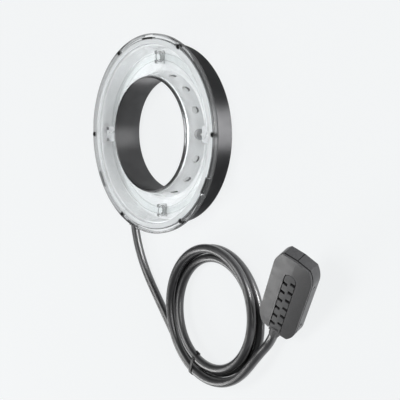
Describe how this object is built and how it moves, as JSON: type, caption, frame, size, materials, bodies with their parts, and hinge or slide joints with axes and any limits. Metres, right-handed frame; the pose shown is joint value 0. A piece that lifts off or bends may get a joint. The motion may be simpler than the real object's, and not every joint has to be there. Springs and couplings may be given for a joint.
{
  "type": "ring flash head",
  "caption": "Ring flash head with a clear front cover, two half-ring flash tubes, modelling lamps and a coiled cord to a contact plug.",
  "frame": {"origin": "centre of the lens bore on the rear face", "axes": "+Z along the bore towards the subject, +X to one of the six cover screws, +Y a quarter turn on; the cord leaves on the -X -Y side"},
  "size_m": [0.2623, 0.2778, 0.0407],
  "materials": {
    "black_plastic": "satin",
    "sleeve": "satin",
    "clear_cover": "gloss",
    "reflector_white": "gloss",
    "tube_glass": "gloss",
    "electrode": "satin",
    "socket_white": "satin",
    "clip_clear": "gloss",
    "steel": "satin",
    "black_screw": "satin",
    "brass": "satin",
    "flex": "satin",
    "lamp": "gloss",
    "grommet": "matte",
    "silicone": "matte",
    "board_green": "satin",
    "component": "matte",
    "wire_white": "satin",
    "cord_rubber": "satin",
    "tie_black": "satin",
    "plug_plastic": "matte",
    "boot_rubber": "matte",
    "gold": "gloss"
  },
  "bodies": {
    "root": {"rear_housing": "black_plastic", "bore_sleeve": "sleeve", "front_cover": "clear_cover", "screw_ring": "clear_cover", "ribbed_strips": "black_plastic", "cover_gasket": "silicone", "reflector": "reflector_white", "flash_tube_upper": "tube_glass", "flash_tube_lower": "tube_glass", "tube_electrodes": "electrode", "tube_socket_right": "socket_white", "tube_socket_left": "socket_white", "terminal_screws": "steel", "tube_clip_upper": "clip_clear", "tube_clip_lower": "clip_clear", "lamp_strip": "flex", "modelling_lamps": "lamp", "lead_grommets": "grommet", "tube_leads": "wire_white", "cover_screws": "black_screw", "bracket_inserts": "brass", "control_board": "board_green", "board_parts": "component", "trigger_coil": "component", "heat_sensor": "component", "cord_gland": "boot_rubber", "cord_cores": "wire_white", "cord_coil": "cord_rubber", "cord_tie": "tie_black", "cord_from_ring": "cord_rubber", "cord_to_plug": "cord_rubber", "plug_face": "plug_plastic", "plug_rear": "plug_plastic", "plug_boot": "boot_rubber", "contact_block": "plug_plastic", "contact_pins": "gold", "plug_board": "board_green", "plug_screws": "black_screw"}
  },
  "joints": []
}
